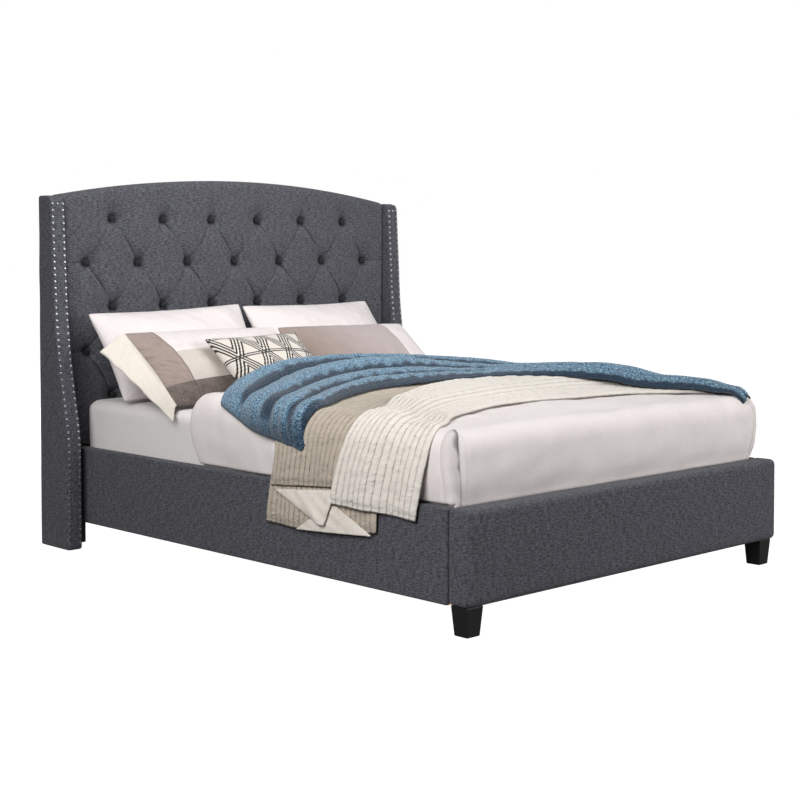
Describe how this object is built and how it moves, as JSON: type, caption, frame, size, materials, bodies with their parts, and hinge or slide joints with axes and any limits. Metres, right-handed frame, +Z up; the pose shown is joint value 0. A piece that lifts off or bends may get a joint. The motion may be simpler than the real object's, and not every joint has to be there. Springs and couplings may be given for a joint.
{
  "type": "upholstered bed",
  "caption": "Queen bed with an arched tufted headboard, studded side wings, padded rails and footboard, slatted base, mattress and layered bedding.",
  "frame": {"origin": "on the floor, under the middle of the whole bed's bounding box", "axes": "+Z up, +Y towards the headboard, +X to the right as seen from the foot of the bed"},
  "size_m": [1.848, 2.2, 1.442],
  "materials": {
    "grey_linen": "matte",
    "dust_cloth": "matte",
    "pine": "satin",
    "plywood": "satin",
    "foam": "matte",
    "black_wood": "satin",
    "nail_steel": "satin",
    "zinc_steel": "satin",
    "black_steel": "satin",
    "black_plastic": "matte",
    "mattress_cloth": "matte",
    "duvet_cotton": "matte",
    "beige_quilting": "matte",
    "ivory_quilting": "matte",
    "blue_knit": "matte",
    "pillow_cotton": "matte",
    "sham_panels": "matte",
    "patterned_cotton": "matte"
  },
  "bodies": {
    "frame": {"headboard_cover": "grey_linen", "leg_sleeve_left": "grey_linen", "leg_sleeve_right": "grey_linen", "wing_cover_left": "grey_linen", "wing_cover_right": "grey_linen", "rail_cover_left": "grey_linen", "rail_cover_right": "grey_linen", "footboard_cover": "grey_linen", "tufting_buttons": "grey_linen", "headboard_back_cloth": "dust_cloth", "headboard_top_batten": "pine", "headboard_bottom_batten": "pine", "headboard_mid_uprights": "pine", "headboard_upright_left": "pine", "headboard_upright_right": "pine", "headboard_leg_left": "pine", "headboard_leg_right": "pine", "headboard_brace": "pine", "rail_board_left": "pine", "rail_board_right": "pine", "slat_ledger_left": "pine", "slat_ledger_right": "pine", "footboard_battens": "pine", "slats": "pine", "centre_beam": "pine", "support_legs": "pine", "headboard_panel": "plywood", "wing_core_left": "plywood", "wing_core_right": "plywood", "footboard_front_board": "plywood", "footboard_inner_board": "plywood", "headboard_foam": "foam", "foot_left": "black_wood", "foot_right": "black_wood", "nailheads_left": "nail_steel", "nailheads_right": "nail_steel", "rail_bolts": "zinc_steel", "barrel_nuts": "zinc_steel", "wing_bolts": "zinc_steel", "foot_hanger_bolts": "zinc_steel", "bracket_screws": "zinc_steel", "slat_screws": "zinc_steel", "support_bolts": "zinc_steel", "corner_bracket_left": "black_steel", "corner_bracket_right": "black_steel", "beam_hangers": "black_steel", "floor_glides": "black_plastic"},
    "leveller_1": {"leveller_1": "zinc_steel"},
    "leveller_2": {"leveller_2": "zinc_steel"},
    "leveller_3": {"leveller_3": "zinc_steel"},
    "mattress": {"mattress": "mattress_cloth"},
    "bed_covers": {"duvet": "duvet_cotton", "beige_quilt": "beige_quilting", "ivory_quilt": "ivory_quilting", "knitted_throw": "blue_knit"},
    "back_pillow_left": {"back_pillow_left": "pillow_cotton"},
    "back_pillow_right": {"back_pillow_right": "pillow_cotton"},
    "sham_left": {"sham_left": "sham_panels"},
    "sham_right": {"sham_right": "sham_panels"},
    "accent_pillow": {"accent_pillow": "patterned_cotton"}
  },
  "joints": [
    {"name": "leveller_1_screw", "type": "slide", "parent": "frame", "child": "leveller_1", "axis": [0, 0, -1], "range_m": [-0.012, 0.015]},
    {"name": "leveller_2_screw", "type": "slide", "parent": "frame", "child": "leveller_2", "axis": [0, 0, -1], "range_m": [-0.012, 0.015]},
    {"name": "leveller_3_screw", "type": "slide", "parent": "frame", "child": "leveller_3", "axis": [0, 0, -1], "range_m": [-0.012, 0.015]},
    {"name": "mattress_lift", "type": "slide", "parent": "frame", "child": "mattress", "axis": [0, 0, 1], "range_m": [0, 0.3]},
    {"name": "covers_lift", "type": "slide", "parent": "mattress", "child": "bed_covers", "axis": [0, 0, 1], "range_m": [0, 0.25]},
    {"name": "back_pillow_left_lift", "type": "slide", "parent": "mattress", "child": "back_pillow_left", "axis": [0, 0, 1], "range_m": [0, 0.4]},
    {"name": "back_pillow_right_lift", "type": "slide", "parent": "mattress", "child": "back_pillow_right", "axis": [0, 0, 1], "range_m": [0, 0.4]},
    {"name": "sham_left_lift", "type": "slide", "parent": "mattress", "child": "sham_left", "axis": [0, 0, 1], "range_m": [0, 0.4]},
    {"name": "sham_right_lift", "type": "slide", "parent": "mattress", "child": "sham_right", "axis": [0, 0, 1], "range_m": [0, 0.4]},
    {"name": "accent_pillow_lift", "type": "slide", "parent": "sham_left", "child": "accent_pillow", "axis": [0, 0, 1], "range_m": [0, 0.4]}
  ]
}
